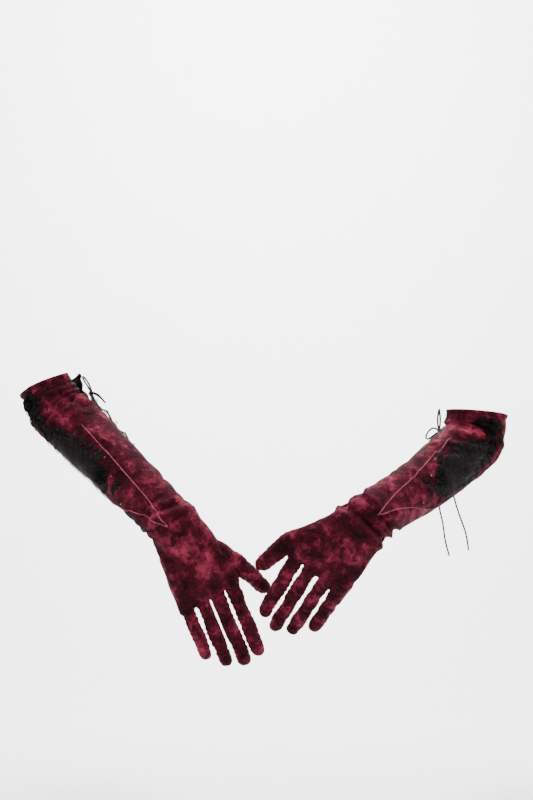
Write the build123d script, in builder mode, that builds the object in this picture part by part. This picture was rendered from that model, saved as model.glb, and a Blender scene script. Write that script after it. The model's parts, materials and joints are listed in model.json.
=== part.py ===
from build123d import *
import math
import os

os.makedirs("parts", exist_ok=True)

# A pair of elbow-length gloves, laid in the shape of two arms with the hands
# folded in front. X runs from the right glove to the left glove, +Z is up, and
# the backs of the hands face -Y. The origin is the middle of the right glove's
# arm opening.

# ---- Driving dimensions, mm ----
CLOTH = 1.6  # velvet and lining together
SEAM_GAP = 0.4  # between two panels of one glove
HEM = -0.16  # where the hem is, as a share of the forearm above the elbow
CUFF_END = 0.97  # where the sleeve stops short of the wrist hinge
CUFF_TURN = 0.8  # where it starts to turn into line with the hand
CORD = 2.4  # satin lacing cord
LOOP_RING = 3.0  # lacing loop, to the middle of its thread
LOOP_THREAD = 0.6
LOOP_LIFT = 2.4  # middle of a loop above the velvet
LEAF_THICK = 0.7
LEAF_LIFT = 1.8  # from the velvet to the back of a leaf
SPRIG_LIFT = 4.0  # the same at the elbow, where the arm bends
SKIN_GAP = 0.5  # between the velvet and what is laid on it
FACING = 1.3
PIPING = 1.5  # height of the piping above the velvet
NET_LIFT = 1.0  # from the velvet to the back of the net, which bridges the arm's bend
NET_THICK = 0.5
LACE_WIDE = 7.0
LACE_THICK = 0.7
BEAD_RADIUS = 1.2
FLEX_GAP = 8.0  # from the knuckle line back to the edge of the hand shell
STALL_START = 3.0  # from a finger's hinge to the mouth of its stall
GUSSET_RADIUS = 12.6
GUSSET_ROOT = 20.0  # from the thumb's hinge back into the hand
GUSSET_GAP = 5.5

# Half widths of the arm tube: share of the forearm, across, front to back.
ARM_SIZES = [
    (HEM, 41.0, 37.0),
    (0.0, 40.0, 38.0),
    (0.2, 38.5, 36.0),
    (0.5, 36.0, 32.0),
    (0.8, 33.0, 28.0),
    (1.0, 32.0, 25.0),
]

# Seams of the sleeve: share of the forearm, angle from the back of the arm
# towards the thumb side, in degrees.
OUTER_SEAM = [(HEM, -112.0), (0.2, -110.0), (0.5, -104.0), (0.65, -88.0), (0.8, -50.0), (0.9, -30.0), (1.0, -18.0)]
POINT_SEAM = [(HEM, -29.0), (0.0, 0.0), (0.2, 16.0), (0.5, 12.0), (0.8, 5.0), (1.0, -12.0)]
GORE_SEAM = [(HEM, 13.0), (0.0, 20.0), (0.2, 34.0), (0.5, 52.0), (0.8, 48.0), (1.0, 40.0)]
SLIT_FRONT = [(HEM, 44.0), (0.0, 64.0), (0.1, 82.0), (0.2, 94.0), (0.35, 108.0), (0.5, 119.0), (0.56, 130.0)]
SLIT_BACK = [(HEM, 106.0), (0.0, 112.0), (0.1, 122.0), (0.2, 129.0), (0.35, 136.0), (0.5, 141.0), (0.56, 130.0)]
NET_LOW = [(0.05, -66.0), (0.32, -90.0), (0.5, -84.0), (0.62, -58.0)]
NET_HIGH = [(0.05, -54.0), (0.2, -20.0), (0.32, -14.0), (0.44, -8.0), (0.56, -18.0), (0.62, -42.0)]

# Where the arm tube's cross-sections stand, and the pairs of lacing loops.
STATIONS = [HEM, -0.1, -0.05, 0.0, 0.05, 0.1, 0.15, 0.2, 0.26, 0.32, 0.38, 0.44, 0.5, 0.56, 0.62, 0.68, 0.74, 0.8]
STATIONS = STATIONS + [0.86, 0.92, CUFF_END]
LOOP_STATIONS = [0.13, 0.21, 0.29, 0.37, 0.45]

# Hand shell: share from wrist to knuckles, shift to the thumb side, half
# width, half thickness.
HAND_SIZES = [(0.0, 0.0, 31.5, 24.0), (0.3, 3.0, 37.0, 20.0), (0.6, 2.0, 41.0, 17.0), (1.0, 0.0, 43.5, 14.0)]

# Stalls: mouth radius, tip radius, length from the knuckle.
STALL_SIZES = {
    "thumb": (11.5, 9.0, 54.0),
    "index": (9.6, 8.2, 86.0),
    "middle": (9.7, 8.2, 90.0),
    "ring": (9.3, 7.8, 80.0),
    "little": (8.8, 7.0, 54.0),
}

RIGHT = {
    "name": "right",
    "side": 1,
    "hem": Vector(0, 0, 0),
    "elbow": Vector(14, -6, -35),
    "wrist": Vector(167, -118, -175),
    "sag": Vector(0, 0, 0),
    "twist": [(HEM, 0.0), (1.0, 0.0)],
    "knuckles": {
        "thumb": (Vector(249, -110, -227), Vector(55, 12, -50)),
        "index": (Vector(244, -118, -260), Vector(38, 0, -92)),
        "middle": (Vector(225, -118, -270), Vector(38, 0, -92)),
        "ring": (Vector(207, -118, -281), Vector(39, 0, -92)),
        "little": (Vector(190, -118, -294), Vector(38, 0, -92)),
    },
    "bow": Vector(55, -9, -13),
    "tails": [
        [(56, -6, -14), (59, 4, -21), (61, 11, -36), (63, 13, -56), (66, 12, -78), (69, 10, -101), (71, 7, -124), (73, 5, -143)],
        [(53, -5, -11), (53, 9, -15), (56, 18, -30), (59, 21, -52), (63, 20, -76), (68, 17, -100), (74, 14, -123), (79, 11, -146)],
    ],
    "loops": [
        [(55, -11, -11), (51, -12, -3), (46, -12, 4), (43, -6, 10), (45, 0, 9), (50, 4, 2), (54, -1, -6), (56, -7, -11)],
        [(57, -11, -11), (61, -18, -12), (66, -24, -14), (72, -26, -21), (75, -21, -25), (73, -12, -24), (67, -8, -17), (58, -8, -12)],
    ],
}

LEFT = {
    "name": "left",
    "side": -1,
    "hem": Vector(560, 17, -38),
    "elbow": Vector(557, 13, -75),
    "wrist": Vector(416, -150, -162),
    "sag": Vector(3, 0, -5),
    "twist": [(HEM, 28.0), (0.5, 28.0), (0.8, 20.0), (1.0, 10.0)],
    "knuckles": {
        "thumb": (Vector(312, -149, -195), Vector(-58, 2, -51)),
        "index": (Vector(318, -146, -221), Vector(-44, 34, -78)),
        "middle": (Vector(334, -146, -237), Vector(-46, 36, -78)),
        "ring": (Vector(350, -146, -253), Vector(-42, 38, -70)),
        "little": (Vector(366, -145, -268), Vector(-32, 34, -52)),
    },
    "bow": Vector(513, 18, -62),
    "tails": [
        [(512, 20, -64), (509, 29, -73), (510, 34, -90), (513, 34, -112), (512, 33, -137), (513, 32, -162), (519, 31, -186), (521, 31, -208), (527, 31, -228)],
        [(515, 21, -61), (518, 33, -66), (523, 40, -84), (527, 41, -107), (530, 39, -132), (535, 38, -156), (543, 37, -180), (551, 36, -201), (553, 36, -221)],
    ],
    "loops": [
        [(513, 18, -58), (514, 15, -48), (513, 16, -39), (513, 21, -32), (512, 26, -37), (511, 26, -46), (511, 23, -55), (512, 20, -60)],
        [(511, 16, -61), (507, 10, -58), (501, 4, -58), (495, 0, -64), (493, 3, -71), (497, 11, -73), (503, 16, -69), (510, 19, -64)],
    ],
}


# ---- Shape of the arm and the hand ----
def between(table, share, column=1):
    """Value of a table's column at a share of the forearm, straight between rows."""
    if share <= table[0][0]:
        return table[0][column]
    for low, high in zip(table, table[1:]):
        if share <= high[0]:
            part = (share - low[0]) / (high[0] - low[0])
            return low[column] + (high[column] - low[column]) * part
    return table[-1][column]


def arm_centre(glove, share):
    """Middle of the arm tube; 0 is the elbow, 1 the wrist, below 0 towards the hem."""
    if share < 0:
        return glove["elbow"] + (glove["hem"] - glove["elbow"]) * (share / HEM)
    straight = glove["elbow"] + (glove["wrist"] - glove["elbow"]) * share
    return straight + glove["sag"] * math.sin(math.pi * min(share, 1.0))


def knuckle_middle(glove):
    bases = [base for name, (base, _) in glove["knuckles"].items() if name != "thumb"]
    return (bases[0] + bases[1] + bases[2] + bases[3]) / 4


def hand_direction(glove):
    return (knuckle_middle(glove) - glove["wrist"]).normalized()


def arm_direction(glove, share):
    """Way the tube runs; the elbow bend is spread out, and the cuff faces half-way into the hand."""
    reach = 0.1
    low = max(share - reach, HEM)
    high = min(share + reach, 1.0)
    along = (arm_centre(glove, high) - arm_centre(glove, low)).normalized()
    turning = max(0.0, (share - CUFF_TURN) / (CUFF_END - CUFF_TURN))
    return (along + hand_direction(glove) * turning).normalized()


def facing_plane(origin, along, side):
    """Section plane: local x is the back of the arm, local y the thumb side."""
    forward = Vector(0, -1, 0)
    dorsal = (forward - along * forward.dot(along)).normalized()
    return Plane(origin=origin, x_dir=dorsal, z_dir=along * -side)


def arm_plane(glove, share):
    return facing_plane(arm_centre(glove, share), arm_direction(glove, share), glove["side"])


def arm_local(glove, share, angle, lift):
    """Point of the arm's skin in its section plane, raised by lift."""
    turned = math.radians(angle + between(glove["twist"], share))
    across = between(ARM_SIZES, share, 1) + lift
    deep = between(ARM_SIZES, share, 2) + lift
    return (deep * math.cos(turned), across * math.sin(turned))


def arm_point(glove, share, angle, lift=0.0):
    x, y = arm_local(glove, share, angle, lift)
    return arm_plane(glove, share).from_local_coords(Vector(x, y, 0))


def strip_profile(plane, local_point, start, stop, inner, outer):
    """One cross-section of a curved band, drawn on its section plane."""
    steps = max(2, math.ceil((stop - start) / 22.0))
    angles = [start + (stop - start) * step / steps for step in range(steps + 1)]
    outside = [local_point(angle, outer) for angle in angles]
    inside = [local_point(angle, inner) for angle in reversed(angles)]
    with BuildSketch(plane) as profile:
        with BuildLine():
            Spline(*outside)
            Line(outside[-1], inside[0])
            Spline(*inside)
            Line(inside[-1], outside[0])
        make_face()
    return profile.sketch


def arm_strip(glove, stations, start, stop, inner, outer):
    """Band of cloth on the arm between two seams, given as tables or functions."""
    profiles = []
    for share in stations:

        def local_point(angle, lift):
            return arm_local(glove, share, angle, lift)

        profiles.append(strip_profile(arm_plane(glove, share), local_point, start(share), stop(share), inner, outer))
    loft(profiles, ruled=True)


def stations_between(low, high):
    return [share for share in STATIONS if low <= share <= high]


def seam(table, shift=0.0, turn=0.0):
    """A seam as a function of the share, moved sideways by shift millimetres."""
    return lambda share: between(table, share) + turn + math.degrees(shift / between(ARM_SIZES, share, 1))


def export(name, part):
    part.part.label = name
    export_step(part.part, "parts/" + name + ".step")


def tube_path(name, points):
    """Straight runs with an arc at each corner, as wide as its two runs allow."""
    spots = [Vector(*point) for point in points]
    radii = []
    for before, corner, after in zip(spots, spots[1:], spots[2:]):
        turn = (corner - before).get_angle(after - corner)
        shorter = min((corner - before).length, (after - corner).length)
        radii.append(0.45 * shorter / math.tan(math.radians(turn / 2)))
    print(name, "radii", [round(radius, 1) for radius in radii])
    return FilletPolyline(*spots, radius=radii)


def cord_tube(name, points):
    """A cord of round section along a route."""
    with BuildLine():
        path = tube_path(name, points)
    with BuildSketch(Plane(origin=path @ 0, z_dir=path % 0)) as section:
        Circle(CORD / 2)
    sweep(section.sketch, path=path)
    print(name, "length", round(path.length, 1))


# ---- Sleeve ----
def sleeve_panels(glove):
    half = SEAM_GAP / 2
    panels = {
        "sleeve_back_panel": (seam(OUTER_SEAM, half), seam(POINT_SEAM, -half)),
        "sleeve_gore_panel": (seam(POINT_SEAM, half), seam(GORE_SEAM, -half)),
        "sleeve_inner_panel": (seam(GORE_SEAM, half), seam(SLIT_FRONT, -half)),
        "sleeve_under_panel": (seam(SLIT_BACK, half), seam(OUTER_SEAM, -half, 360.0)),
    }
    for name, (start, stop) in panels.items():
        with BuildPart() as panel:
            arm_strip(glove, STATIONS, start, stop, -CLOTH, 0.0)
        export(glove["name"] + "_" + name, panel)


def hem_facing(glove):
    with BuildPart() as facing:
        stations = stations_between(HEM, -0.05)
        start = seam(SLIT_BACK, 1.0)
        stop = seam(SLIT_FRONT, -1.0, 360.0)
        arm_strip(glove, stations, start, stop, -CLOTH - FACING, -CLOTH - SKIN_GAP)
    export(glove["name"] + "_hem_facing", facing)


def piping(glove):
    """Raised cord in both arms of the pointed seam."""
    wide = 0.9
    with BuildPart() as cord:
        for table, first in ((POINT_SEAM, 0.26), (OUTER_SEAM, 0.5)):
            stations = stations_between(first, CUFF_END)
            arm_strip(glove, stations, seam(table, -wide), seam(table, wide), SKIN_GAP, PIPING)
    export(glove["name"] + "_piping", cord)


def net_panel(glove):
    with BuildPart() as net:
        stations = stations_between(0.05, 0.62)
        arm_strip(glove, stations, seam(NET_LOW), seam(NET_HIGH), NET_LIFT, NET_LIFT + NET_THICK)
    export(glove["name"] + "_net_panel", net)


def surface_plane(glove, share, angle, lift, heading):
    """Plane lying on the arm's skin; local x points along the heading, 0 is towards the wrist."""
    spot = arm_point(glove, share, angle, lift)
    ahead = arm_point(glove, share + 0.02, angle, lift) - spot
    aside = arm_point(glove, share, angle + 4.0, lift) - spot
    outward = (spot - arm_centre(glove, share)).normalized()
    normal = ahead.cross(aside).normalized()
    if normal.dot(outward) < 0:
        normal = -normal
    ahead = ahead.normalized()
    sideways = (aside - ahead * aside.dot(ahead)).normalized()
    turned = math.radians(heading)
    return Plane(origin=spot, x_dir=ahead * math.cos(turned) + sideways * math.sin(turned), z_dir=normal)


def leaf(glove, share, angle, heading, length, width, lift=LEAF_LIFT):
    """Flat almond leaf; its stalk end is at the given spot."""
    with BuildSketch(surface_plane(glove, share, angle, lift, heading)) as blade:
        with BuildLine():
            ThreePointArc((0, 0), (length / 2, width / 2), (length, 0))
            ThreePointArc((length, 0), (length / 2, -width / 2), (0, 0))
        make_face()
    extrude(blade.sketch, amount=LEAF_THICK)


GARLAND_ROUTE = [(0.1, -40.0), (0.16, -27.0), (0.23, -18.0), (0.3, -13.0), (0.37, -9.0), (0.44, -3.0)]
SPRIG_ROUTE = [(-0.13, -44.0), (-0.095, -42.0), (-0.06, -44.0)]


def leafy_stem(glove, name, route, length, width, lift):
    """A pair of leaves at each stop of the route, and one at its end."""
    with BuildPart() as stem:
        for share, angle in route:
            leaf(glove, share, angle, 48, length, width, lift)
            leaf(glove, share, angle, -62, length, width, lift)
        last_share, last_angle = route[-1]
        leaf(glove, last_share, last_angle, -5, length, width, lift)
    export(glove["name"] + "_" + name, stem)


def rose_motif(glove):
    """Round embroidered rose: a flat middle and a ring of round petals, with three leaves."""
    share, angle = 0.54, -31.0
    petal, ring, middle = 4.6, 7.4, 6.8
    with BuildPart() as rose:
        with BuildSketch(surface_plane(glove, share, angle, LEAF_LIFT, 0)) as disc:
            Circle(middle)
            with PolarLocations(ring, 7):
                Circle(petal)
        extrude(disc.sketch, amount=LEAF_THICK)
        for heading in (-40, 4, 46):
            leaf(glove, 0.64, angle + 3 + heading * 0.12, heading, 12.0, 5.0)
    export(glove["name"] + "_rose_motif", rose)


def beads(glove):
    with BuildPart() as group:
        for share, angle in ((0.605, -16.0), (0.735, -50.0), (0.50, 2.0)):
            spot = arm_point(glove, share, angle, BEAD_RADIUS + 0.15)
            with Locations(spot):
                Sphere(BEAD_RADIUS)
    export(glove["name"] + "_beads", group)


# ---- Laced slit ----
def lace_edgings(glove):
    stations = stations_between(HEM, 0.5)
    sides = {
        "lace_edging_inner": (seam(SLIT_FRONT, -LACE_WIDE), seam(SLIT_FRONT, -SEAM_GAP)),
        "lace_edging_under": (seam(SLIT_BACK, SEAM_GAP), seam(SLIT_BACK, LACE_WIDE)),
    }
    for name, (start, stop) in sides.items():
        with BuildPart() as edging:
            arm_strip(glove, stations, start, stop, SKIN_GAP, SKIN_GAP + LACE_THICK)
        export(glove["name"] + "_" + name, edging)


def loop_spots(glove, lift):
    """Middle of each lacing loop, on the two sides of the slit."""
    reach = LOOP_RING + LOOP_THREAD + 0.4
    front = [arm_point(glove, share, seam(SLIT_FRONT, reach)(share), lift) for share in LOOP_STATIONS]
    back = [arm_point(glove, share, seam(SLIT_BACK, -reach)(share), lift) for share in LOOP_STATIONS]
    return front, back


def lacing_loops(glove):
    front, back = loop_spots(glove, LOOP_LIFT)
    with BuildPart() as rings:
        for share, *pair in zip(LOOP_STATIONS, front, back):
            for spot in pair:
                with Locations(Plane(origin=spot, z_dir=arm_direction(glove, share))):
                    Torus(LOOP_RING, LOOP_THREAD)
    export(glove["name"] + "_lacing_loops", rings)


def lacing_route(glove, start_side, lift):
    """Zigzag through the loops, straight through each one along the slit."""
    sides = loop_spots(glove, lift)
    through = 3.2
    route = [glove["bow"]]
    for step, share in enumerate(LOOP_STATIONS):
        spot = sides[(step + start_side) % 2][step]
        along = arm_direction(glove, share) * through
        route.extend([spot - along, spot + along])
    return [tuple(point) for point in route]


def lacing_cord(glove):
    name = glove["name"] + "_lacing_cord"
    for half, lift in enumerate((LOOP_LIFT - 1.4, LOOP_LIFT + 1.4)):
        with BuildPart() as cord:
            cord_tube(name, lacing_route(glove, half, lift))
        export(name + ("_lower", "_upper")[half], cord)


def bow(glove):
    side = glove["name"]
    with BuildPart() as knot:
        with Locations(glove["bow"]):
            Sphere(3.4)
    export(side + "_bow_knot", knot)
    with BuildPart() as loops:
        for route in glove["loops"]:
            cord_tube(side + "_bow_loops", route)
    export(side + "_bow_loops", loops)
    for number, route in enumerate(glove["tails"], 1):
        name = side + "_cord_tail_" + str(number)
        with BuildPart() as tail:
            cord_tube(name, route)
        export(name, tail)


# ---- Hand ----
def hand_planes(glove):
    """Section planes of the hand shell from the wrist to the knuckle line."""
    wrist = glove["wrist"]
    middle = knuckle_middle(glove)
    along = hand_direction(glove)
    forearm = (wrist - glove["elbow"]).normalized()
    line = glove["knuckles"]["index"][0] - glove["knuckles"]["little"][0]
    line_normal = (along - line * (along.dot(line) / line.dot(line))).normalized()
    length = (middle - wrist).length
    start = 7.2 / length
    end = 1.0 - FLEX_GAP / length
    yield start, facing_plane(wrist + along * 7.2, (along + forearm).normalized(), glove["side"])
    for share in (0.3, 0.5, 0.7):
        yield share, facing_plane(wrist + along * (length * share), along, glove["side"])
    yield end, facing_plane(wrist + along * (length * end), line_normal, glove["side"])


def hand_local(share, angle, lift):
    """Rounded oblong section of the hand."""
    shift = between(HAND_SIZES, share, 1)
    across = between(HAND_SIZES, share, 2) + lift
    deep = between(HAND_SIZES, share, 3) + lift
    power = 1.0 - 0.25 * share
    cosine, sine = math.cos(math.radians(angle)), math.sin(math.radians(angle))
    x = math.copysign(abs(cosine) ** power, cosine) * deep
    y = math.copysign(abs(sine) ** power, sine) * across
    return (x, y + shift)


def thumb_way_out(glove):
    """Hole in the hand shell that the thumb gusset comes out of."""
    base, along = glove["knuckles"]["thumb"]
    way = along.normalized()
    length = GUSSET_ROOT + 40.0
    with Locations(Plane(origin=base + way * (length / 2 - GUSSET_ROOT - 1.0), z_dir=way)):
        Cylinder(GUSSET_RADIUS + 0.8, length, mode=Mode.SUBTRACT)


def thumb_gusset(glove):
    """Short tube that carries the thumb stall, from inside the hand to just short of the hinge."""
    base, along = glove["knuckles"]["thumb"]
    way = along.normalized()
    with BuildPart() as gusset:
        with BuildSketch(Plane(origin=base - way * GUSSET_ROOT, z_dir=way)) as ring:
            Circle(GUSSET_RADIUS)
            Circle(GUSSET_RADIUS - CLOTH, mode=Mode.SUBTRACT)
        extrude(ring.sketch, amount=GUSSET_ROOT - GUSSET_GAP)
    export(glove["name"] + "_thumb_gusset", gusset)


def hand_shells(glove):
    for name, start, stop in (("back_of_hand", -89.6, 89.6), ("palm", 90.4, 269.6)):
        with BuildPart() as shell:
            profiles = []
            for share, plane in hand_planes(glove):

                def local_point(angle, lift):
                    return hand_local(share, angle, lift)

                profiles.append(strip_profile(plane, local_point, start, stop, -CLOTH, 0.0))
            loft(profiles)
            thumb_way_out(glove)
        export(glove["name"] + "_" + name, shell)


def stall(glove, name):
    """Finger stall: a tapered tube with a closed round tip, open at the knuckle."""
    base, along = glove["knuckles"][name]
    mouth, tip, length = STALL_SIZES[name]
    shoulder = length - tip
    inner_mouth = mouth - CLOTH
    inner_tip = tip - CLOTH
    plane = Plane(origin=base, x_dir=along.normalized(), z_dir=along.cross(Vector(0, 1, 0)).normalized())
    with BuildPart() as tube:
        with BuildSketch(plane):
            with BuildLine():
                Line((STALL_START, inner_mouth), (STALL_START, mouth))
                Line((STALL_START, mouth), (shoulder, tip))
                CenterArc((shoulder, 0), tip, 90, -90)
                Line((length, 0), (length - CLOTH, 0))
                CenterArc((shoulder, 0), inner_tip, 0, 90)
                Line((shoulder, inner_tip), (STALL_START, inner_mouth))
            make_face()
        revolve(axis=Axis(base, along))
    export(glove["name"] + "_" + name + "_stall", tube)


for glove in (RIGHT, LEFT):
    sleeve_panels(glove)
    hem_facing(glove)
    piping(glove)
    net_panel(glove)
    leafy_stem(glove, "leaf_garland", GARLAND_ROUTE, 11.0, 4.6, LEAF_LIFT)
    leafy_stem(glove, "elbow_sprig", SPRIG_ROUTE, 12.0, 5.2, SPRIG_LIFT)
    rose_motif(glove)
    beads(glove)
    lace_edgings(glove)
    lacing_loops(glove)
    lacing_cord(glove)
    bow(glove)
    hand_shells(glove)
    thumb_gusset(glove)
    for finger in STALL_SIZES:
        stall(glove, finger)
    print(glove["name"], "wrist axis", arm_plane(glove, CUFF_END).y_dir)
    for finger, (base, along) in glove["knuckles"].items():
        print(finger, "hinge", base, along.cross(Vector(0, 1, 0)).normalized())
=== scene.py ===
import json
import math

import bmesh
import bpy
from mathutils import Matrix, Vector, noise
from mathutils.bvhtree import BVHTree


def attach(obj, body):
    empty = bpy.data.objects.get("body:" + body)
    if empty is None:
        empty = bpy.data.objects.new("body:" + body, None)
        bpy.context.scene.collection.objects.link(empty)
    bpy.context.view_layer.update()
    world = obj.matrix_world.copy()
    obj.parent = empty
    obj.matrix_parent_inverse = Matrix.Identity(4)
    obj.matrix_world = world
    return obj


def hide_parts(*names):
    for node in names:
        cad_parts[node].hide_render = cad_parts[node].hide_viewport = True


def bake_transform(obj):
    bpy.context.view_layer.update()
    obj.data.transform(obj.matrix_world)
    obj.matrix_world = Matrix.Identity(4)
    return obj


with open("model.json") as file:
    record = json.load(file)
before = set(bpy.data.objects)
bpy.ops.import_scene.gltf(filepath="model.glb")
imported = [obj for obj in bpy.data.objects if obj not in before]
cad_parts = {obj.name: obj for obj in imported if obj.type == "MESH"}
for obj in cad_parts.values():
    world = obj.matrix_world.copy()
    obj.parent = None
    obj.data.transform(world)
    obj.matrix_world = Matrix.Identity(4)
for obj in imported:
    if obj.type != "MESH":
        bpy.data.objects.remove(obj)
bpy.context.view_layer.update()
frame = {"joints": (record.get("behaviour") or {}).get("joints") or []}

# A pair of elbow-length gloves in crushed velvet, shown as they sit on two bent
# arms with the hands meeting in front. Metres; X runs from the right glove to
# the left one, +Z is up, and the backs of the hands face -Y.


def new_object(name, data):
    thing = bpy.data.objects.new(name, data)
    bpy.context.collection.objects.link(thing)
    return thing


# ---- Camera ----
camera_data = bpy.data.cameras.new("camera")
camera_data.lens = 85
camera = new_object("camera", camera_data)
camera.location = (0.2842, -2.478, -0.021)
camera.rotation_euler = (math.radians(90), 0, 0)
bpy.context.scene.camera = camera


# ---- Tied bow of the lacing cord ----
# The two loops and two free ends of each glove's lacing, in black satin cord
# tied in a soft bow at the top of the slit. The cord is 2.4 mm thick and limp.
CORD = 0.0024


def feed(tree, node, inputs):
    """Give each input of a node either a value or the output that feeds it."""
    for name, value in inputs.items():
        if isinstance(value, bpy.types.NodeSocket):
            tree.links.new(value, node.inputs[name])
        else:
            node.inputs[name].default_value = value


def shader_node(tree, kind, inputs, **settings):
    node = tree.nodes.new(kind)
    for name, value in settings.items():
        setattr(node, name, value)
    feed(tree, node, inputs)
    return node


def own_place(tree):
    """The piece's own coordinates."""
    return shader_node(tree, "ShaderNodeTexCoord", {}).outputs["Object"]


def own_map(tree):
    """The piece's UV map."""
    return shader_node(tree, "ShaderNodeUVMap", {}, uv_map="UVMap").outputs["UV"]


def clouds(tree, place, scale, detail, **inputs):
    """Noise pattern node."""
    inputs = {name.capitalize(): value for name, value in inputs.items()}
    inputs.update({"Vector": place, "Scale": scale, "Detail": detail})
    return shader_node(tree, "ShaderNodeTexNoise", inputs)


def cells(tree, place, scale, randomness=1.0, feature="F1"):
    """Cell pattern node."""
    inputs = {"Vector": place, "Scale": scale, "Randomness": randomness}
    return shader_node(tree, "ShaderNodeTexVoronoi", inputs, feature=feature)


def raised(tree, height, strength, distance):
    """Normal of a surface raised by a height of so many metres at most."""
    inputs = {"Height": height, "Strength": strength, "Distance": distance}
    return shader_node(tree, "ShaderNodeBump", inputs).outputs["Normal"]


def new_material(name):
    """A material with an empty Principled shader; returns it, its tree and the shader."""
    material = bpy.data.materials.new(name)
    material.use_nodes = True
    tree = material.node_tree
    shader = tree.nodes["Principled BSDF"]
    return material, tree, shader


def new_group(name, inputs, outputs):
    """An effect group with float and colour sockets; returns it, its tree ends."""
    group = bpy.data.node_groups.new(name, "ShaderNodeTree")
    for label, default in inputs.items():
        kind = "NodeSocketFloat" if isinstance(default, float) else "NodeSocketColor"
        group.interface.new_socket(name=label, in_out="INPUT", socket_type=kind).default_value = default
    for label, kind in outputs.items():
        group.interface.new_socket(name=label, in_out="OUTPUT", socket_type=kind)
    return group, group.nodes.new("NodeGroupInput"), group.nodes.new("NodeGroupOutput")


def two_tones(tree, factor, low, high):
    """Colour that runs from low to high as the factor runs from 0 to 1."""
    inputs = {"Factor": factor, "A": low, "B": high}
    return shader_node(tree, "ShaderNodeMix", inputs, data_type="RGBA").outputs["Result"]


def ranged(tree, value, first, last, low=0.0, high=1.0):
    """Number that runs from low to high as another runs from first to last."""
    inputs = {"Value": value, "From Min": first, "From Max": last, "To Min": low, "To Max": high}
    return shader_node(tree, "ShaderNodeMapRange", inputs).outputs["Result"]


# Fine spun thread: close fibres with darker hollows between them; the lighter fibres are a painted highlight
# and the darker hollows painted shade, on the same pattern that raises the fibres.
thread_group, thread_in, thread_out = new_group(
    "spun thread",
    {"Dark": (0.004, 0.004, 0.004, 1), "Light": (0.02, 0.02, 0.02, 1), "Fineness": 900.0},
    {"Color": "NodeSocketColor", "Roughness": "NodeSocketFloat", "Height": "NodeSocketFloat"},
)
fibre = clouds(
    thread_group, own_place(thread_group), thread_in.outputs["Fineness"], 3.0, distortion=0.6
).outputs["Fac"]
fibre_band = ranged(thread_group, fibre, 0.35, 0.68)
# Painted highlight on the raised fibres and painted shade in the hollows between them.
fibre_color = two_tones(thread_group, fibre_band, thread_in.outputs["Dark"], thread_in.outputs["Light"])
fibre_rough = ranged(thread_group, fibre, 0.0, 1.0, 0.62, 0.34)
feed(thread_group, thread_out, {"Color": fibre_color, "Roughness": fibre_rough, "Height": fibre_band})


def thread_material(name, dark, light, fineness, depth):
    """Thread or cord in two shades, the lighter painted on its raised fibres as a highlight and the darker in
    its hollows as shade, with its fibres raised by so many metres.
    """
    material, tree, shader = new_material(name)
    group = tree.nodes.new("ShaderNodeGroup")
    group.node_tree = thread_group
    feed(tree, group, {"Dark": (*dark, 1), "Light": (*light, 1), "Fineness": fineness})
    finish = {
        "Base Color": group.outputs["Color"],
        "Roughness": group.outputs["Roughness"],
        "Normal": raised(tree, group.outputs["Height"], 0.7, depth),
        "Specular IOR Level": 0.1,
    }
    feed(tree, shader, finish)
    return material


cord_finish = thread_material("black satin cord", (0.003, 0.003, 0.0035), (0.02, 0.019, 0.021), 700.0, 0.0003)

BOW_KNOTS = {"right": Vector((0.055, -0.009, -0.013)), "left": Vector((0.513, 0.018, -0.062))}
TAIL_ROUTES = {
    "right": [
        [(0.056, -0.006, -0.014), (0.059, 0.004, -0.021), (0.061, 0.011, -0.036), (0.063, 0.013, -0.056),
         (0.066, 0.012, -0.078), (0.069, 0.010, -0.101), (0.071, 0.007, -0.124), (0.073, 0.005, -0.143)],
        [(0.053, -0.005, -0.011), (0.053, 0.009, -0.015), (0.056, 0.018, -0.030), (0.059, 0.021, -0.052),
         (0.063, 0.020, -0.076), (0.068, 0.017, -0.100), (0.074, 0.014, -0.123), (0.079, 0.011, -0.146)],
    ],
    "left": [
        [(0.512, 0.020, -0.064), (0.509, 0.029, -0.073), (0.510, 0.034, -0.090), (0.513, 0.034, -0.112),
         (0.512, 0.033, -0.137), (0.513, 0.032, -0.162), (0.519, 0.031, -0.186), (0.521, 0.031, -0.208),
         (0.527, 0.031, -0.228)],
        [(0.515, 0.021, -0.061), (0.518, 0.033, -0.066), (0.523, 0.040, -0.084), (0.527, 0.041, -0.107),
         (0.530, 0.039, -0.132), (0.535, 0.038, -0.156), (0.543, 0.037, -0.180), (0.551, 0.036, -0.201),
         (0.553, 0.036, -0.221)],
    ],
}
LOOP_ROUTES = {
    "right": [
        [(0.055, -0.011, -0.011), (0.051, -0.012, -0.003), (0.046, -0.012, 0.004), (0.043, -0.006, 0.010),
         (0.045, 0.000, 0.009), (0.050, 0.004, 0.002), (0.054, -0.001, -0.006), (0.056, -0.007, -0.011)],
        [(0.057, -0.011, -0.011), (0.061, -0.018, -0.012), (0.066, -0.024, -0.014), (0.072, -0.026, -0.021),
         (0.075, -0.021, -0.025), (0.073, -0.012, -0.024), (0.067, -0.008, -0.017), (0.058, -0.008, -0.012)],
    ],
    "left": [
        [(0.513, 0.018, -0.058), (0.514, 0.015, -0.048), (0.513, 0.016, -0.039), (0.513, 0.021, -0.032),
         (0.512, 0.026, -0.037), (0.511, 0.026, -0.046), (0.511, 0.023, -0.055), (0.512, 0.020, -0.060)],
        [(0.511, 0.016, -0.061), (0.507, 0.010, -0.058), (0.501, 0.004, -0.058), (0.495, 0.000, -0.064),
         (0.493, 0.003, -0.071), (0.497, 0.011, -0.073), (0.503, 0.016, -0.069), (0.510, 0.019, -0.064)],
    ],
}
TAIL_LENGTHS = {"right": (0.137, 0.150), "left": (0.170, 0.173)}
LOOP_LENGTHS = {"right": (0.0587, 0.0600), "left": (0.0573, 0.0583)}


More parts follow.
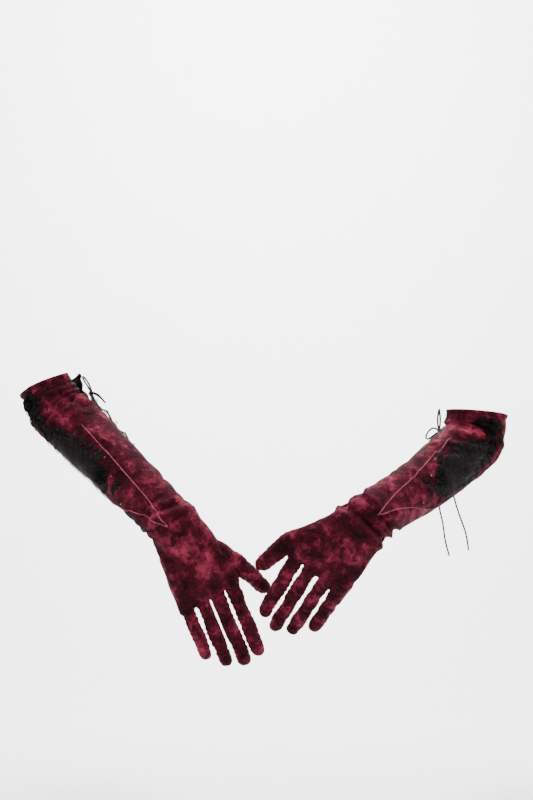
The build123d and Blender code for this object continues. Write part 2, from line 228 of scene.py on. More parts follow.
def cord_along(name, points, diameter, finish, body):
    """Round cord on one smooth curve through its route, riding on a body."""
    curve = bpy.data.curves.new(name, "CURVE")
    curve.dimensions = "3D"
    spline = curve.splines.new("NURBS")
    spline.points.add(len(points) - 1)
    for control, point in zip(spline.points, points):
        control.co = (*point, 1)
    spline.order_u = 3
    spline.use_endpoint_u = True
    spline.resolution_u = 8
    curve.bevel_depth = diameter / 2
    curve.bevel_resolution = 3
    curve.use_fill_caps = True
    curve.materials.append(finish)
    cord = new_object(name, curve)
    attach(cord, body)
    return cord


for side in ("right", "left"):
    body = side + "_sleeve"
    for number, (route, length) in enumerate(zip(LOOP_ROUTES[side], LOOP_LENGTHS[side]), 1):
        loop = cord_along(f"{side}_bow_loop_{number}", route, CORD, cord_finish, body)
        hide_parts(side + "_bow_loops")
    for number, (route, length) in enumerate(zip(TAIL_ROUTES[side], TAIL_LENGTHS[side]), 1):
        tail = cord_along(f"{side}_tail_{number}", route, CORD, cord_finish, body)
        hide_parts(f"{side}_cord_tail_{number}")


# ---- Velvet ----
# Crushed velvet over a smooth lining, cut in four sleeve panels, a back of the
# hand, a palm and five finger stalls, and sewn in one skin that the arm fills.
# The pile was crushed while damp, so it lies in patches that face many ways.
HEM = -0.16  # share of the forearm; 0 is the elbow, 1 the wrist
CLOTH = 0.0016
PILE_STEP = 0.00125  # size of the faces of the velvet skin
FINGERS = ("thumb", "index", "middle", "ring", "little")
# Sleeve: share of the forearm, half width, half thickness.
ARM_SIZES = [
    (HEM, 0.041, 0.037),
    (0.0, 0.040, 0.038),
    (0.2, 0.0385, 0.036),
    (0.5, 0.036, 0.032),
    (0.8, 0.033, 0.028),
    (1.0, 0.032, 0.025),
]
# Seams: share of the forearm, and degrees from the back of the arm to the thumb side.
OUTER_SEAM = [
    (HEM, -112), (0.2, -110), (0.5, -104), (0.65, -88), (0.8, -50), (0.9, -30), (1.0, -18), (1.02, -15)
]
POINT_SEAM = [(HEM, -29), (0.0, 0), (0.2, 16), (0.5, 12), (0.8, 5), (1.0, -12), (1.02, -15)]
SLIT_FRONT = [(HEM, 44), (0.0, 64), (0.1, 82), (0.2, 94), (0.35, 108), (0.5, 119), (0.56, 130)]
SLIT_BACK = [(HEM, 106), (0.0, 112), (0.1, 122), (0.2, 129), (0.35, 136), (0.5, 141), (0.56, 130)]
SLIT_END = 0.56
# Hand: share from wrist to knuckles, shift to the thumb side, half width, half thickness.
HAND_SIZES = [
    (0.0, 0.0, 0.0315, 0.024),
    (0.3, 0.003, 0.037, 0.020),
    (0.6, 0.002, 0.041, 0.017),
    (1.0, 0.0, 0.0435, 0.014),
]
# Stalls: radius at the knuckle, radius at the tip, length, and how far the tip curls to the palm.
STALL_SIZES = {
    "thumb": (0.0116, 0.0090, 0.053, 0.005),
    "index": (0.0095, 0.0088, 0.086, 0.001),
    "middle": (0.0089, 0.0087, 0.090, 0.002),
    "ring": (0.0086, 0.0085, 0.080, 0.006),
    "little": (0.0090, 0.0080, 0.056, 0.003),
}
STALL_ROOT = 0.4  # how much of a stall's length its root inside the hand takes
ROOT_DEEP = 0.028  # how far the root reaches into the hand
THUMB_ROOT = (0.22, 90, 0.35)  # share of the hand, angle round it, share of the way out
STALL_JOINTS = ((0.42, 0.07), (0.74, 0.06))  # where the finger's joints fill a stall, and how wide
JOINT_SWELL = 0.0003


def joint_place(name):
    return next(Vector(joint["pos_m"]) for joint in frame["joints"] if joint["name"] == name)


GLOVES = {
    "right": {
        "side": 1,
        "hem": Vector((0, 0, 0)),
        "elbow": Vector((0.014, -0.006, -0.035)),
        "sag": Vector((0, 0, 0)),
        "twist": [(HEM, 0), (1.0, 0)],
        "ways": {
            "thumb": (55, 12, -50),
            "index": (38, 0, -92),
            "middle": (38.6, 0, -92),
            "ring": (37.6, 0, -92),
            "little": (37, 0, -92),
        },
    },
    "left": {
        "side": -1,
        "hem": Vector((0.560, 0.017, -0.038)),
        "elbow": Vector((0.557, 0.013, -0.075)),
        "sag": Vector((0.003, 0, -0.005)),
        "twist": [(HEM, 28), (0.5, 28), (0.8, 20), (1.0, 10)],
        "ways": {
            "thumb": (-58, 2, -51),
            "index": (-44, 34, -78),
            "middle": (-46, 36, -78),
            "ring": (-42, 38, -70),
            "little": (-32, 34, -52),
        },
    },
}
for side, glove in GLOVES.items():
    glove["name"] = side
    glove["ways"] = {finger: Vector(way).normalized() for finger, way in glove["ways"].items()}
    glove["wrist"] = joint_place(side + "_wrist_bend")
    glove["knuckles"] = {finger: joint_place(f"{side}_{finger}_bend") for finger in FINGERS}
    row = [glove["knuckles"][finger] for finger in FINGERS[1:]]
    glove["knuckle_middle"] = sum(row, Vector()) / len(row)
    glove["hand_way"] = (glove["knuckle_middle"] - glove["wrist"]).normalized()
    glove["arm_length"] = (glove["wrist"] - glove["elbow"]).length


def between(table, share, column=1):
    """Value of a table's column at a share, straight between rows."""
    if share <= table[0][0]:
        return table[0][column]
    for low, high in zip(table, table[1:]):
        if share <= high[0]:
            part = (share - low[0]) / (high[0] - low[0])
            return low[column] + (high[column] - low[column]) * part
    return table[-1][column]


def arm_centre(glove, share):
    if share < 0:
        return glove["elbow"] + (glove["hem"] - glove["elbow"]) * (share / HEM)
    on_line = glove["elbow"] + (glove["wrist"] - glove["elbow"]) * share
    return on_line + glove["sag"] * math.sin(math.pi * min(share, 1.0))


def cross_axes(way, side):
    """Directions to the back of the arm and to the thumb side, square to the way."""
    forward = Vector((0, -1, 0))
    dorsal = (forward - way * forward.dot(way)).normalized()
    return dorsal, dorsal.cross(way) * side


def arm_way(glove, share):
    reach = 0.1
    low = max(share - reach, HEM)
    high = min(share + reach, 1.0)
    way = (arm_centre(glove, high) - arm_centre(glove, low)).normalized()
    turning = max(0.0, (share - 0.8) / 0.17)
    return (way + glove["hand_way"] * turning).normalized()


def arm_spoke(glove, share, angle):
    """Middle of the arm and the vector from it to the skin, at an angle from the arm's back."""
    dorsal, thumbward = cross_axes(arm_way(glove, share), glove["side"])
    turned = math.radians(angle + between(glove["twist"], share))
    deep = between(ARM_SIZES, share, 2)
    across = between(ARM_SIZES, share, 1)
    spoke = dorsal * (deep * math.cos(turned)) + thumbward * (across * math.sin(turned))
    return arm_centre(glove, share), spoke


def mapped_grid(bm, columns, rows, spot, uv_size=(1, 1)):
    """Grid of faces whose corners are put at spot(u, v), with a UV map in the same sense."""
    uv_layer = bm.loops.layers.uv.verify()
    corners = bmesh.ops.create_grid(bm, x_segments=columns, y_segments=rows, size=0.5)["verts"]
    for face in {face for corner in corners for face in corner.link_faces}:
        for loop in face.loops:
            loop[uv_layer].uv = ((loop.vert.co.x + 0.5) * uv_size[0], (loop.vert.co.y + 0.5) * uv_size[1])
    for corner in corners:
        corner.co = spot(corner.co.x + 0.5, corner.co.y + 0.5)
    return corners


def turn_out(bm):
    """Make the faces agree on which side is out."""
    bmesh.ops.recalc_face_normals(bm, faces=bm.faces)


def closed_tube(bm, columns, rows, spot):
    """Tube through spot(u, v), v once round, with flat ends."""
    corners = mapped_grid(bm, columns, rows, spot)
    bmesh.ops.remove_doubles(bm, verts=corners, dist=1e-6)
    edges = [edge for edge in bm.edges if edge.is_boundary]
    bmesh.ops.holes_fill(bm, edges=edges, sides=0)


def hand_spoke(glove, share, angle):
    """The same as arm_spoke for the hand; its section is a rounded oblong."""
    way = glove["hand_way"]
    knuckles = glove["knuckles"]["index"] - glove["knuckles"]["little"]
    square = (way - knuckles * (way.dot(knuckles) / knuckles.length_squared)).normalized()
    forearm = (glove["wrist"] - glove["elbow"]).normalized()
    early = max(0.0, 1.0 - max(share, 0.0) / 0.3)
    late = max(0.0, (share - 0.5) / 0.5)
    facing = (way + forearm * early + (square - way) * late).normalized()
    dorsal, thumbward = cross_axes(facing, glove["side"])
    power = 1.0 - 0.25 * share
    cosine, sine = math.cos(math.radians(angle)), math.sin(math.radians(angle))
    thinning = 1.0 - 0.34 * max(0.0, (share - 0.78) / 0.15) ** 2
    deep = math.copysign(abs(cosine) ** power, cosine) * between(HAND_SIZES, share, 3) * thinning
    across = math.copysign(abs(sine) ** power, sine) * between(HAND_SIZES, share, 2)
    length = (glove["knuckle_middle"] - glove["wrist"]).length
    centre = glove["wrist"] + way * (share * length) + thumbward * between(HAND_SIZES, share, 1)
    return centre, dorsal * deep + thumbward * across


def velvet_form(glove):
    """Closed solids of the arm, hand and fingers, overlapping where they join."""
    bm = bmesh.new()

    def on_arm(u, v):
        centre, spoke = arm_spoke(glove, HEM - 0.03 + u * (1.03 - HEM), v * 360)
        return centre + spoke

    def on_hand(u, v):
        centre, spoke = hand_spoke(glove, -0.06 + u * 0.99, v * 360)
        return centre + spoke

    closed_tube(bm, 60, 64, on_arm)
    closed_tube(bm, 30, 64, on_hand)
    for finger in FINGERS:
        base, way = glove["knuckles"][finger], glove["ways"][finger]
        mouth, tip, length, curl = STALL_SIZES[finger]
        dorsal, thumbward = cross_axes(way, glove["side"])
        root = base - way * ROOT_DEEP
        if finger == "thumb":
            share, angle, out = THUMB_ROOT
            root, spoke = hand_spoke(glove, share, angle)
            root += spoke * out

        def on_finger(u, v):
            reach = math.sin(u * math.pi / 2) * (1 + STALL_ROOT) - STALL_ROOT
            part = max(0.0, reach)
            inside = max(0.0, -reach / STALL_ROOT)
            bulge = sum(hump(part, spot, wide) for spot, wide in STALL_JOINTS)
            radius = mouth + (tip - mouth) * part + JOINT_SWELL * bulge
            from_end = length * (1 - part)
            if from_end < tip:
                radius = math.sqrt(max(0.0, tip * tip - (tip - from_end) ** 2))
            if finger == "thumb":
                radius += 0.0055 * inside * (1 - 0.5 * inside)
            middle = base.lerp(root, inside) + way * (length * part) - dorsal * (curl * part * part)
            turned = v * math.tau
            return middle + dorsal * (radius * math.cos(turned)) + thumbward * (radius * math.sin(turned))

        closed_tube(bm, 40, 24, on_finger)
    turn_out(bm)
    mesh = bpy.data.meshes.new("velvet form")
    bm.to_mesh(mesh)
    bm.free()
    return mesh


def one_skin(form, step):
    """The outside of overlapping solids, as one even skin."""
    holder = new_object("skin", form)
    remesh = holder.modifiers.new("skin", "REMESH")
    remesh.mode = "VOXEL"
    remesh.voxel_size = step
    bpy.context.view_layer.update()
    skin = bpy.data.meshes.new_from_object(holder.evaluated_get(bpy.context.evaluated_depsgraph_get()))
    bpy.data.objects.remove(holder)
    return skin


def arm_sections(glove):
    """Many cross-sections of the arm, for finding where on it a point is."""
    steps = 300
    sections = []
    for step in range(steps + 1):
        share = HEM - 0.05 + (1.08 - HEM) * step / steps
        way = arm_way(glove, share)
        sections.append((share, arm_centre(glove, share), way, *cross_axes(way, glove["side"])))
    return sections


def arm_address(glove, sections, point):
    """Share along the arm and angle round it of a point near the arm's skin."""
    low, high = 0, len(sections) - 1
    while high - low > 1:
        middle = (low + high) // 2
        if (point - sections[middle][1]).dot(sections[middle][2]) > 0:
            low = middle
        else:
            high = middle
    share, centre, way, dorsal, thumbward = sections[low]
    share += (point - centre).dot(way) / glove["arm_length"]
    out = point - centre
    turned = math.atan2(
        out.dot(thumbward) / between(ARM_SIZES, share, 1),
        out.dot(dorsal) / between(ARM_SIZES, share, 2),
    )
    return share, math.degrees(turned) - between(glove["twist"], share)


def round_angle(angle):
    return (angle + 180) % 360 - 180


def hump(value, middle, width):
    return math.exp(-(((value - middle) / width) ** 2))


def pucker(phase):
    """Rounded ridges with narrow valleys, from 0 to 1."""
    return abs(math.sin(phase))


# Deep creases that run over the front, each from one point to another in X and
# Z, with its width and depth.
CREASES = {
    "right": [
        ((0.1385, -0.1840), (0.1900, -0.1610), 0.0035, 0.0028),
        ((0.1330, -0.1660), (0.1720, -0.1500), 0.0030, 0.0020),
        ((0.1500, -0.2050), (0.1780, -0.2380), 0.0040, 0.0020),
        ((0.2210, -0.2190), (0.2370, -0.2440), 0.0040, 0.0030),
        ((0.0020, -0.0330), (0.0400, -0.0460), 0.0040, 0.0026),
        ((0.0200, -0.0150), (0.0520, -0.0300), 0.0035, 0.0022),
        ((0.0600, -0.0700), (0.0860, -0.0830), 0.0035, 0.0020),
    ],
    "left": [
        ((0.3750, -0.1440), (0.4340, -0.1970), 0.0045, 0.0052),
        ((0.4240, -0.1640), (0.4460, -0.1880), 0.0035, 0.0040),
        ((0.3960, -0.1320), (0.4120, -0.1480), 0.0035, 0.0028),
        ((0.3560, -0.1750), (0.3900, -0.2080), 0.0035, 0.0022),
        ((0.5000, -0.0820), (0.5500, -0.0900), 0.0040, 0.0030),
        ((0.5250, -0.0700), (0.5850, -0.0780), 0.0040, 0.0030),
        ((0.5050, -0.1010), (0.5380, -0.1100), 0.0035, 0.0026),
        ((0.4700, -0.1150), (0.4950, -0.1300), 0.0035, 0.0022),
    ],
}


def crease_depth(side, point):
    """Valley along each crease, with a low ridge on either side."""
    total = 0.0
    for start, end, width, depth in CREASES[side]:
        first, last = Vector(start), Vector(end)
        spot = Vector((point.x, point.z))
        run = last - first
        along = max(0.0, min(1.0, (spot - first).dot(run) / run.length_squared))
        away = (spot - first - run * along).length
        away += 0.0020 * noise.noise(point * 90)
        total += depth * (0.55 * hump(away, 2.1 * width, width) - hump(away, 0.0, width))
    return total


# Folds round the wrist, round the elbow, along the whole arm and on the stalls:
# their spacing and their height.
WRIST_FOLDS = (0.0150, 0.0024)
ELBOW_FOLDS = (0.0170, 0.0036)
DRAG_FOLDS = (0.0420, 0.0022)
STALL_FOLDS = (0.0072, 0.0006)
HAND_FOLD = 0.0016


def fold_height(glove, point, normal, share, angle):
    """How far the velvet stands off its form, in folds that follow the arm and the fingers."""
    slow = noise.noise(point * 14)
    quick = noise.noise(point * 31 + Vector((7, 3, 1)))
    tilt = math.radians(angle)
    height = 0.0
    if share < 1.02:
        length = share * glove["arm_length"]
        wrist = hump(share, 0.95, 0.10)
        elbow = hump(share, 0.02, 0.14)
        wrist_phase = length / WRIST_FOLDS[0] * math.pi + 3.4 * slow + 1.6 * quick + 1.2 * math.sin(tilt)
        elbow_phase = length / ELBOW_FOLDS[0] * math.pi + 3.0 * slow + 1.4 * quick
        elbow_phase += 1.2 * math.sin(tilt + 0.6)
        drag_phase = length / DRAG_FOLDS[0] * math.pi + 3.2 * slow + 1.6 * tilt
        height += WRIST_FOLDS[1] * wrist * (pucker(wrist_phase) - 0.55) * (0.5 + 1.6 * slow)
        height += ELBOW_FOLDS[1] * elbow * (pucker(elbow_phase) - 0.6) * (0.75 + 0.8 * slow)
        height += DRAG_FOLDS[1] * (pucker(drag_phase) - 0.6) * (0.8 + quick)
    else:
        height += HAND_FOLD * (pucker(7.0 * slow + 3.0 * quick) - 0.5)
    for finger in FINGERS:
        base, way = glove["knuckles"][finger], glove["ways"][finger]
        radius, _, reach, _ = STALL_SIZES[finger]
        along = (point - base).dot(way)
        if along < -0.012 or (point - base - way * along).length > radius + 0.004:
            continue
        part = along / reach
        joint = hump(part, 0.40, 0.16) + hump(part, 0.74, 0.12) + hump(part, 0.02, 0.14)
        phase = along / STALL_FOLDS[0] * math.pi + 1.6 * noise.noise(point * 60) + 0.5 * slow
        height += (0.00035 + STALL_FOLDS[1] * joint) * (pucker(phase) - 0.6)
    if normal.y < 0.2:
        height += crease_depth(glove["name"], point)
    height += 0.0005 * quick + 0.00025 * noise.noise(point * 85)
    return height


def soften(bm, verts, factor):
    """Ease each point towards its neighbours by a share of the way."""
    bmesh.ops.smooth_vert(
        bm, verts=verts, factor=factor, use_axis_x=True, use_axis_y=True, use_axis_z=True
    )


def velvet_skin(glove):
    """The whole skin of one glove with its folds, still closed at the hem."""
    mesh = one_skin(velvet_form(glove), PILE_STEP)
    bm = bmesh.new()
    bm.from_mesh(mesh)
    for _ in range(9):
        soften(bm, bm.verts, 0.5)
    bm.normal_update()
    sections = arm_sections(glove)
    moves = []
    for vert in bm.verts:
        share, angle = arm_address(glove, sections, vert.co)
        moves.append(vert.normal * fold_height(glove, vert.co, vert.normal, share, angle))
    for vert, move in zip(bm.verts, moves):
        vert.co += move
    soften(bm, bm.verts, 0.35)
    bm.normal_update()
    return bm, sections


def over_velvet(glove, share, angle, lift=0.0):
    """Point on the velvet at a share and an angle, raised by lift."""
    centre, spoke = arm_spoke(glove, share, angle)
    hit, normal, _, _ = glove["surface"].ray_cast(centre + spoke * 1.5, -spoke.normalized(), spoke.length)
    if hit is None:
        hit = centre + spoke
    return hit + spoke.normalized() * lift


def in_slit(share, angle):
    turned = round_angle(angle)
    return share < SLIT_END and between(SLIT_FRONT, share) < turned < between(SLIT_BACK, share)


def worked_out(tree, operation, first, second):
    """Two numbers joined by an operation."""
    return shader_node(tree, "ShaderNodeMath", {0: first, 1: second}, operation=operation).outputs["Value"]


def shifted(tree, operation, first, second):
    """Two places, or a place and a scale, joined by an operation."""
    other = "Scale" if operation == "SCALE" else 1
    inputs = {0: first, other: second}
    return shader_node(tree, "ShaderNodeVectorMath", inputs, operation=operation).outputs["Vector"]


# Crushed pile: patches that lean different ways, with ragged edges, short streaks inside them and a fine nap
# on top; their colour, from near black to bright rose, is painted sheen and shade of pile leaning towards or
# away from the light.
pile_group, pile_in, pile_out = new_group(
    "crushed pile and painted sheen",
    {
        "Deep": (0.0035, 0.0002, 0.0006, 1),
        "Ground": (0.042, 0.0018, 0.0065, 1),
        "Bright": (0.27, 0.028, 0.062, 1),
        "Patch Size": 46.0,
    },
    {"Color": "NodeSocketColor", "Roughness": "NodeSocketFloat", "Height": "NodeSocketFloat"},
)
place = own_place(pile_group)
warp = clouds(pile_group, place, 120.0, 4.0, roughness=0.65).outputs["Color"]
warp = shifted(pile_group, "SCALE", shifted(pile_group, "SUBTRACT", warp, (0.5, 0.5, 0.5)), 0.014)
warped = shifted(pile_group, "ADD", place, warp)
patches = clouds(pile_group, warped, pile_in.outputs["Patch Size"], 6.0, roughness=0.62).outputs["Fac"]
leans = cells(pile_group, warped, 120.0).outputs["Color"]
lean_tone = shader_node(pile_group, "ShaderNodeSeparateColor", {"Color": leans}).outputs["Red"]
streaks = clouds(pile_group, warped, 310.0, 3.0, roughness=0.7).outputs["Fac"]
leaning = worked_out(pile_group, "ADD", patches, ranged(pile_group, lean_tone, 0.0, 1.0, -0.055, 0.055))
crush = worked_out(pile_group, "ADD", leaning, ranged(pile_group, streaks, 0.0, 1.0, -0.14, 0.14))
dark_half = ranged(pile_group, crush, 0.37, 0.54)
light_half = ranged(pile_group, crush, 0.54, 0.76)
# Painted shade and sheen: near-black patches for pile leaning away from the light, bright rose for pile
# leaning into it.
shaded_pile_color = two_tones(pile_group, dark_half, pile_in.outputs["Deep"], pile_in.outputs["Ground"])
pile_sheen_color = two_tones(pile_group, light_half, shaded_pile_color, pile_in.outputs["Bright"])
nap = worked_out(pile_group, "MULTIPLY", clouds(pile_group, place, 1100.0, 2.0).outputs["Fac"], 0.10)
pile_height = worked_out(pile_group, "ADD", crush, nap)
pile_rough = ranged(pile_group, crush, 0.45, 0.85, 0.72, 0.40)
feed(pile_group, pile_out, {"Color": pile_sheen_color, "Roughness": pile_rough, "Height": pile_height})

velvet_finish, tree, shader = new_material("wine crushed velvet")
pile = tree.nodes.new("ShaderNodeGroup")
pile.node_tree = pile_group
finish = {
    "Base Color": pile.outputs["Color"],
    "Roughness": pile.outputs["Roughness"],
    "Normal": raised(tree, pile.outputs["Height"], 1.0, 0.010),
    "Specular IOR Level": 0.05,
    "Sheen Weight": 0.12,
    "Sheen Roughness": 0.4,
    "Sheen Tint": (0.9, 0.12, 0.24, 1),
}
feed(tree, shader, finish)


def new_piece(name, bm, finish):
    """A finished mesh as an object, smooth, with its material and slot."""
    mesh = bpy.data.meshes.new(name)
    bm.to_mesh(mesh)
    bm.free()
    mesh.shade_smooth()
    mesh.materials.append(finish)
    piece = new_object(name, mesh)
    return piece


# Where each stall leaves the hand, and where its bend starts and ends, from
# the finger's hinge towards the tip.
STALL_CUTS = {finger: (-0.0055, -0.0040, 0.0110) for finger in FINGERS}
STALL_CUTS["thumb"] = (0.0090, 0.0105, 0.0260)
WRIST_BEND = 0.014  # half the length of sleeve and hand that bends at the wrist
HAND_START = -0.0015  # where the hand's piece begins, from the start of that bend
STALL_MARGIN = 0.006  # how far a stall's folds may stand off its radius
WRIST_RIM = 0.006  # edges nearer than this to the bend belong to the wrist
HEM_RIM = 0.012  # share of the forearm that the hem's ragged edge takes

for side, glove in GLOVES.items():
    bm, sections = velvet_skin(glove)
    glove["surface"] = BVHTree.FromBMesh(bm)
    forearm = (glove["wrist"] - glove["elbow"]).normalized()
    bend_start = glove["wrist"] - forearm * WRIST_BEND
    bend_end = glove["wrist"] + glove["hand_way"] * WRIST_BEND
    bend_way = (bend_end - bend_start).normalized()
    glove["bend_start"], glove["bend_end"] = bend_start, bend_end
    part_of = {}
    for face in bm.faces:
        middle = face.calc_center_median()
        part_of[face] = "hand"
        if (middle - bend_start).dot(bend_way) < HAND_START:
            share, angle = arm_address(glove, sections, middle)
            part_of[face] = "waste" if share < HEM or in_slit(share, angle) else "sleeve"
            continue
        nearest = 1.0
        for finger in FINGERS:
            base, way = glove["knuckles"][finger], glove["ways"][finger]
            along = (middle - base).dot(way)
            away = (middle - base - way * along).length
            reach = min(nearest, STALL_SIZES[finger][0] + STALL_MARGIN)
            if along > STALL_CUTS[finger][0] and away < reach:
                nearest = away
                part_of[face] = finger
    normal_of = {tuple(vert.co): vert.normal.copy() for vert in bm.verts}
    for part in ("sleeve", "hand", *FINGERS):
        piece_bm = bm.copy()
        kept = [part_of[face] == part for face in bm.faces]
        waste = [face for face, keep in zip(piece_bm.faces, kept) if not keep]
        bmesh.ops.delete(piece_bm, geom=waste, context="FACES")
        if part == "sleeve":
            rim = [edge for edge in piece_bm.edges if edge.is_boundary]
            rim_verts = {vert for edge in rim for vert in edge.verts}
            edge_verts = []
            for vert in rim_verts:
                if (vert.co - bend_start).dot(bend_way) > -WRIST_RIM:
                    continue
                share, angle = arm_address(glove, sections, vert.co)
                angle = round_angle(angle)
                front, back = between(SLIT_FRONT, share), between(SLIT_BACK, share)
                slit_middle = (front + back) / 2
                if share < HEM + HEM_RIM:
                    share = HEM
                    angle = min(angle, between(SLIT_FRONT, HEM)) if 0 < angle < slit_middle else angle
                else:
                    angle = front if angle < slit_middle else back
                vert.co = over_velvet(glove, share, angle)
                edge_verts.append(vert)
            near = {vert for rim_vert in edge_verts for edge in rim_vert.link_edges for vert in edge.verts}
            soften(piece_bm, list(near - rim_verts), 0.5)
        piece = new_piece(f"{side}_velvet_{part}", piece_bm, velvet_finish)
        glove[part] = piece
        normals = [normal_of.get(tuple(vert.co), vert.normal) for vert in piece.data.vertices]
        piece.data.normals_split_custom_set_from_vertices(normals)
        if part == "sleeve":
            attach(piece, side + "_sleeve")
        elif part == "hand":
            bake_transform(piece)
            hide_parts(side + "_back_of_hand", side + "_palm", side + "_thumb_gusset")
        else:
            base, way = glove["knuckles"][part], glove["ways"][part]
            _, start, end = STALL_CUTS[part]
            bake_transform(piece)
            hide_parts(f"{side}_{part}_stall")
    panels = ("back_panel", "gore_panel", "inner_panel", "under_panel")
    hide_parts(*[f"{side}_sleeve_{panel}" for panel in panels])
    bm.free()


# ---- Lining ----
# Dark smooth lining inside the sleeve, a cloth's thickness in from the velvet,
# seen where the arm goes in and through the laced slit.
lining_finish = thread_material("dark lining", (0.004, 0.0012, 0.002), (0.016, 0.005, 0.008), 260.0, 0.0002)
for side, glove in GLOVES.items():
    lining = bmesh.new()
    lining.from_mesh(glove["sleeve"].data)
    lining.normal_update()
    inward = [(vert, vert.normal * CLOTH) for vert in lining.verts]
    for vert, move in inward:
        vert.co -= move
    bmesh.ops.reverse_faces(lining, faces=lining.faces)
    piece = new_piece(side + "_sleeve_lining", lining, lining_finish)
    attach(piece, side + "_sleeve")


# ---- Hem facing ----
# The velvet turned over the arm opening and hemmed inside, as a soft rolled edge
# all round from one side of the slit to the other.
HEM_FOLD = [  # from the hem along the arm, and out from the velvet
    (0.018, 0.0012), (0.002, 0.0016), (-0.0008, 0.0002),
    (-0.0008, -0.0022), (0.002, -0.0034), (0.030, -0.0032),
]


def beside_seam(table, share, shift):
    """Angle of the spot shift metres sideways from a seam."""
    return between(table, share) + math.degrees(shift / between(ARM_SIZES, share, 1))


for side, glove in GLOVES.items():
    hem = bmesh.new()
    first = between(SLIT_BACK, HEM)
    last = between(SLIT_FRONT, HEM) + 360

    def on_hem(u, v):
        step = v * (len(HEM_FOLD) - 1)
        low = min(int(step), len(HEM_FOLD) - 2)
        part = step - low
        (back, lift), (next_back, next_lift) = HEM_FOLD[low], HEM_FOLD[low + 1]
        back = back + (next_back - back) * part
        lift = lift + (next_lift - lift) * part
        return over_velvet(glove, HEM + back, first + (last - first) * u, lift)

    mapped_grid(hem, 150, 20, on_hem)
    turn_out(hem)
    piece = new_piece(side + "_hem_fold", hem, velvet_finish)
    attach(piece, side + "_sleeve")
    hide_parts(side + "_hem_facing")


# ---- Piping ----
# Rose satin piping caught in both arms of the pointed seam on the back of the forearm. Its point, at the
# wrist, is a piece of its own.
PIPING_RADIUS = 0.0007
PIPING_LIFT = 0.0004
PIPING_ARMS = ((POINT_SEAM, 0.26), (OUTER_SEAM, 0.50))  # each seam, and where its piping starts
PIPING_BEND = 0.93  # where the part that bends begins
PIPING_POINT = 1.02
piping_finish = thread_material("rose satin piping", (0.07, 0.008, 0.018), (0.30, 0.07, 0.11), 500.0, 0.0002)


def seam_tube(bm, glove, table, first, last, radius, lift):
    """Tube along a seam, half sunk in the velvet."""
    steps = 90

    def on_tube(u, v):
        share = first + (last - first) * u
        turned = v * math.tau
        angle = beside_seam(table, share, radius * math.cos(turned))
        return over_velvet(glove, share, angle, lift + radius * math.sin(turned))

    length = (last - first) * glove["arm_length"]
    corners = mapped_grid(bm, steps, 8, on_tube, uv_size=(length, math.tau * radius))
    bmesh.ops.remove_doubles(bm, verts=corners, dist=1e-6)


for side, glove in GLOVES.items():
    cord = bmesh.new()
    for table, start in PIPING_ARMS:
        seam_tube(cord, glove, table, start, PIPING_BEND, PIPING_RADIUS, PIPING_LIFT)
    turn_out(cord)
    piece = new_piece(side + "_piping_cord", cord, piping_finish)
    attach(piece, side + "_sleeve")
    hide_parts(side + "_piping")
    point = bmesh.new()
    for table, _ in PIPING_ARMS:
        seam_tube(point, glove, table, PIPING_BEND, PIPING_POINT, PIPING_RADIUS, PIPING_LIFT)
    turn_out(point)
    piece = new_piece(side + "_piping_point", point, piping_finish)
    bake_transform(piece)


# ---- Net panel ----
# Fine black net with small embroidered dots, laid on the outer back of the
# forearm inside the garland. NET_LOW and NET_HIGH are its edges, as seams are.
NET_LOW = [(0.05, -66), (0.32, -90), (0.5, -84), (0.62, -58)]
NET_HIGH = [(0.05, -54), (0.2, -20), (0.32, -14), (0.44, -8), (0.56, -18), (0.62, -42)]
NET_START, NET_END = 0.05, 0.62
NET_LENGTH, NET_WIDTH, NET_AREA = 0.134, 0.046, 0.0048
NET_LIFT = 0.0008
net_finish, tree, shader = new_material("dotted black net")
place = own_map(tree)
mesh_cells = cells(tree, place, 620.0, 0.35, "DISTANCE_TO_EDGE")
dots = cells(tree, place, 240.0, 0.6)
thread_mask = ranged(tree, mesh_cells.outputs["Distance"], 0.16, 0.24, 1.0, 0.80)
dot_mask = ranged(tree, dots.outputs["Distance"], 0.30, 0.42, 1.0, 0.0)
net_alpha = worked_out(tree, "MAXIMUM", thread_mask, dot_mask)
finish = {
    "Base Color": two_tones(tree, dot_mask, (0.0035, 0.003, 0.003, 1), (0.014, 0.012, 0.012, 1)),
    "Alpha": net_alpha,
    "Normal": raised(tree, net_alpha, 0.6, 0.0004),
    "Roughness": 0.7,
    "Specular IOR Level": 0.15,
}
feed(tree, shader, finish)

for side, glove in GLOVES.items():
    net = bmesh.new()

    def on_net(u, v):
        share = NET_START + (NET_END - NET_START) * u
        low, high = between(NET_LOW, share), between(NET_HIGH, share)
        return over_velvet(glove, share, low + (high - low) * v, NET_LIFT)

    mapped_grid(net, 90, 40, on_net, uv_size=(NET_LENGTH, NET_WIDTH))
    turn_out(net)
    piece = new_piece(side + "_net", net, net_finish)
    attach(piece, side + "_sleeve")
    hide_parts(side + "_net_panel")


# ---- Embroidered leaves ----
# Almond leaves in black satin stitch, with a raised outline and midrib, sewn down
# in pairs: a garland along both edges of the net, and a sprig from it to the hem.
embroidery_finish = thread_material(
    "black satin stitch", (0.0012, 0.0009, 0.0009), (0.0105, 0.0085, 0.0088), 1300.0, 0.0006
)
GARLAND_ROUTE = [
    (0.08, -46), (0.115, -37), (0.15, -29), (0.185, -23), (0.225, -19), (0.265, -16), (0.3, -14),
    (0.335, -12), (0.37, -9), (0.405, -6), (0.44, -3),
]
LOWER_LEAVES = (0.09, 0.15, 0.21, 0.27, 0.33, 0.39, 0.45, 0.51, 0.57)
SPRIG_ROUTE = [
    (-0.13, -44), (-0.11, -42), (-0.085, -42), (-0.06, -43), (-0.035, -45),
    (-0.12, -64), (-0.09, -66), (-0.06, -66), (-0.03, -63), (0.0, -58),
    (-0.10, -31), (-0.065, -30), (-0.03, -33), (0.0, -45), (0.03, -52), (0.035, -40), (0.06, -50),
]
GARLAND_LEAF = (0.0115, 0.0050)  # length and width
GARLAND_END_LEAF = (0.0120, 0.0052)
LOWER_OUTER_LEAF = (0.0110, 0.0046)
